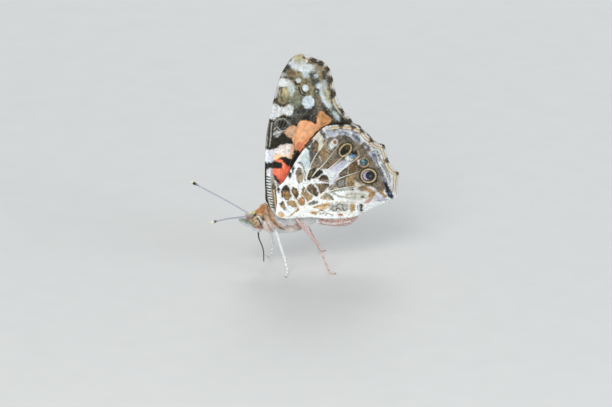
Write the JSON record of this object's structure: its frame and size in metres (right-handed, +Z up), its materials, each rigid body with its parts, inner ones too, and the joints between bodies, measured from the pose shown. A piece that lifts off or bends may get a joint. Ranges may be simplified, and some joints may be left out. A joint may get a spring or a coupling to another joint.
{
  "type": "painted lady butterfly",
  "caption": "Life-size still model of a butterfly standing with its wings closed over its back, feelers spread and tongue lowered.",
  "frame": {"origin": "middle of the base of the bounding box, on the floor under the feet", "axes": "+Z up, the head towards -X and the tail towards +X, the butterfly's left side towards -Y"},
  "size_m": [0.0384, 0.0204, 0.0424],
  "materials": {
    "forewing": "matt scaled membrane, orange, black and white",
    "hindwing": "matt scaled membrane, marbled brown, ochre and cream",
    "body_hair": "soft short hair over horn",
    "abdomen_hair": "short flat hair and scales in rings",
    "eye": "smooth mottled facets",
    "palp_hair": "short bristly hair",
    "antenna": "pale scaled shaft with a dark club and white tip",
    "leg": "pale scaled horn",
    "proboscis": "dark smooth horn"
  },
  "bodies": {
    "root": {"thorax": "body_hair", "abdomen": "abdomen_hair", "head": "body_hair", "proboscis": "proboscis", "eye_left": "eye", "palp_left": "palp_hair", "antenna_left": "antenna", "forewing_left": "forewing", "hindwing_left": "hindwing", "foreleg_left": "body_hair", "midleg_femur_left": "leg", "midleg_tibia_left": "leg", "midleg_tarsus_left": "leg", "hindleg_femur_left": "leg", "hindleg_tibia_left": "leg", "hindleg_tarsus_left": "leg", "eye_right": "eye", "palp_right": "palp_hair", "antenna_right": "antenna", "forewing_right": "forewing", "hindwing_right": "hindwing", "foreleg_right": "body_hair", "midleg_femur_right": "leg", "midleg_tibia_right": "leg", "midleg_tarsus_right": "leg", "hindleg_femur_right": "leg", "hindleg_tibia_right": "leg", "hindleg_tarsus_right": "leg"}
  },
  "joints": []
}
